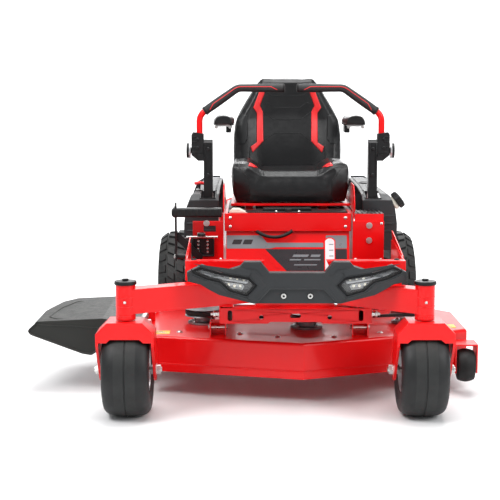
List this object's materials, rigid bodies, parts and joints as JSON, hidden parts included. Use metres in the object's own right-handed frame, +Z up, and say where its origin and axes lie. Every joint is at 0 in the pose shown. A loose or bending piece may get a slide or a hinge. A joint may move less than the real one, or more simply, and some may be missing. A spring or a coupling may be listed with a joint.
{
  "type": "zero turn mower",
  "caption": "Ride-on zero turn mower with a side discharge deck, swivelling front casters, drive wheels, padded seat and swing-out lap bars.",
  "frame": {"origin": "on the ground under the middle of the rear axle, on the frame's centre plane", "axes": "+X towards the machine's left side, +Y towards the back, +Z up"},
  "size_m": [1.695, 1.928, 1.1994],
  "materials": {
    "red_paint": "gloss powder coat",
    "black_paint": "satin powder coat",
    "dark_plastic": "fine-grained moulding",
    "black_plastic": "grained moulding",
    "lens": "clear lamp lens",
    "tyre": "black rubber",
    "zinc": "zinc plated",
    "rim": "silver paint",
    "alu": "cast",
    "seat_vinyl": "soft grained vinyl",
    "cream_plastic": "translucent moulding",
    "rubber": "moulded rubber",
    "steel": "bare steel"
  },
  "bodies": {
    "chassis": {"frame_rail_left": "red_paint", "frame_rail_right": "red_paint", "front_rail": "red_paint", "caster_arm_left": "red_paint", "caster_arm_right": "red_paint", "foot_platform": "red_paint", "front_bumper": "dark_plastic", "headlights": "lens", "centre_panel": "red_paint", "upper_panel": "red_paint", "panel_hose": "rubber", "side_panel_left": "red_paint", "side_panel_right": "red_paint", "fender_left": "dark_plastic", "fender_right": "dark_plastic", "fuel_neck": "cream_plastic", "panel_bolts": "zinc", "transaxles": "alu", "engine_frame": "red_paint", "engine_block": "alu", "engine_cover": "black_plastic", "height_plate": "black_paint"},
    "deck": {"deck_shell": "red_paint", "spindle_housings": "alu", "drive_belt": "rubber", "deck_brackets": "red_paint"},
    "deck_roller_body": {"deck_roller": "black_plastic"},
    "chute": {"discharge_chute": "black_plastic"},
    "blade_right_body": {"blade_right": "steel"},
    "blade_centre_body": {"blade_centre": "steel"},
    "blade_left_body": {"blade_left": "steel"},
    "pedal": {"lift_pedal": "black_paint"},
    "pin": {"height_pin": "zinc"},
    "seat": {"seat_base": "red_paint", "seat_cushion": "seat_vinyl", "seat_back": "seat_vinyl"},
    "fuel_cap_body": {"fuel_cap": "black_plastic"},
    "throttle": {"throttle_lever": "black_plastic"},
    "caster_left": {"caster_fork_left": "red_paint", "caster_axle_left": "zinc", "caster_cap_left": "black_plastic"},
    "caster_wheel_left": {"caster_tyre_left": "tyre", "caster_rim_left": "rim"},
    "rear_wheel_left": {"rear_tyre_left": "tyre", "rear_rim_left": "rim"},
    "armrest_left_body": {"armrest_left": "seat_vinyl"},
    "control_left": {"control_arm_left": "black_paint"},
    "lap_bar_left_body": {"bar_clamp_left": "black_plastic", "lap_bar_left": "red_paint"},
    "caster_right": {"caster_fork_right": "red_paint", "caster_axle_right": "zinc", "caster_cap_right": "black_plastic"},
    "caster_wheel_right": {"caster_tyre_right": "tyre", "caster_rim_right": "rim"},
    "rear_wheel_right": {"rear_tyre_right": "tyre", "rear_rim_right": "rim"},
    "armrest_right_body": {"armrest_right": "seat_vinyl"},
    "control_right": {"control_arm_right": "black_paint"},
    "lap_bar_right_body": {"bar_clamp_right": "black_plastic", "lap_bar_right": "red_paint"}
  },
  "joints": [
    {"name": "caster_swivel_left", "type": "hinge", "parent": "chassis", "child": "caster_left", "pos_m": [0.442, -1.345, 0.4], "axis": [0, 0, 1], "continuous": true},
    {"name": "caster_spin_left", "type": "hinge", "parent": "caster_left", "child": "caster_wheel_left", "pos_m": [0.442, -1.287, 0.165], "axis": [1, 0, 0], "continuous": true},
    {"name": "rear_spin_left", "type": "hinge", "parent": "chassis", "child": "rear_wheel_left", "pos_m": [0.45, 0, 0.254], "axis": [1, 0, 0], "continuous": true},
    {"name": "control_rock_left", "type": "hinge", "parent": "chassis", "child": "control_left", "pos_m": [0.331, -0.56, 0.64], "axis": [1, 0, 0], "range_deg": [-12, 12], "stiffness_Nm_per_rad": 30},
    {"name": "lap_bar_swing_left", "type": "hinge", "parent": "control_left", "child": "lap_bar_left_body", "pos_m": [0.3495, -0.56, 0.866], "axis": [0, 1, 0], "range_deg": [0, 30]},
    {"name": "armrest_fold_left", "type": "hinge", "parent": "seat", "child": "armrest_left_body", "pos_m": [0.272, -0.175, 1], "axis": [-1, 0, 0], "range_deg": [0, 78]},
    {"name": "caster_swivel_right", "type": "hinge", "parent": "chassis", "child": "caster_right", "pos_m": [-0.592, -1.345, 0.4], "axis": [0, 0, 1], "continuous": true},
    {"name": "caster_spin_right", "type": "hinge", "parent": "caster_right", "child": "caster_wheel_right", "pos_m": [-0.592, -1.287, 0.165], "axis": [1, 0, 0], "continuous": true},
    {"name": "rear_spin_right", "type": "hinge", "parent": "chassis", "child": "rear_wheel_right", "pos_m": [-0.45, 0, 0.254], "axis": [1, 0, 0], "continuous": true},
    {"name": "control_rock_right", "type": "hinge", "parent": "chassis", "child": "control_right", "pos_m": [-0.331, -0.56, 0.64], "axis": [1, 0, 0], "range_deg": [-12, 12], "stiffness_Nm_per_rad": 30},
    {"name": "lap_bar_swing_right", "type": "hinge", "parent": "control_right", "child": "lap_bar_right_body", "pos_m": [-0.3495, -0.56, 0.866], "axis": [0, -1, 0], "range_deg": [0, 30]},
    {"name": "armrest_fold_right", "type": "hinge", "parent": "seat", "child": "armrest_right_body", "pos_m": [-0.272, -0.175, 1], "axis": [-1, 0, 0], "range_deg": [0, 78]},
    {"name": "deck_height", "type": "slide", "parent": "chassis", "child": "deck", "axis": [0, 0, 1], "range_m": [-0.05, 0.02]},
    {"name": "pedal_rock", "type": "hinge", "parent": "chassis", "child": "pedal", "pos_m": [-0.42, -0.805, 0.5], "axis": [1, 0, 0], "range_deg": [-10, 5]},
    {"name": "chute_lift", "type": "hinge", "parent": "deck", "child": "chute", "pos_m": [-0.574, -0.72, 0.262], "axis": [0, 1, 0], "range_deg": [0, 80]},
    {"name": "deck_roller_spin", "type": "hinge", "parent": "deck", "child": "deck_roller_body", "pos_m": [0.65, -0.985, 0.112], "axis": [1, 0, 0], "continuous": true},
    {"name": "blade_spin_centre", "type": "hinge", "parent": "deck", "child": "blade_centre_body", "pos_m": [0.056, -0.85, 0.14], "axis": [0, 0, 1], "continuous": true},
    {"name": "blade_spin_left", "type": "hinge", "parent": "deck", "child": "blade_left_body", "pos_m": [0.457, -0.76, 0.14], "axis": [0, 0, 1], "continuous": true},
    {"name": "blade_spin_right", "type": "hinge", "parent": "deck", "child": "blade_right_body", "pos_m": [-0.345, -0.76, 0.14], "axis": [0, 0, 1], "continuous": true},
    {"name": "height_pin_pull", "type": "slide", "parent": "chassis", "child": "pin", "axis": [-1, 0, 0], "range_m": [0, 0.03]},
    {"name": "seat_slide", "type": "slide", "parent": "chassis", "child": "seat", "axis": [0, -1, 0], "range_m": [-0.05, 0.05]},
    {"name": "fuel_cap_twist", "type": "hinge", "parent": "chassis", "child": "fuel_cap_body", "pos_m": [0.4296, -0.54, 0.6896], "axis": [0.788, 0, 0.6157], "range_deg": [0, 90]},
    {"name": "throttle_tilt", "type": "hinge", "parent": "chassis", "child": "throttle", "pos_m": [-0.372, -0.442, 0.737], "axis": [1, 0, 0], "range_deg": [-15, 15]}
  ],
  "couplings": [
    {"joint": "pedal_rock", "follows": "deck_height", "rad_per_m": 3},
    {"joint": "blade_spin_left", "follows": "blade_spin_centre", "ratio": 1},
    {"joint": "blade_spin_right", "follows": "blade_spin_centre", "ratio": 1}
  ]
}
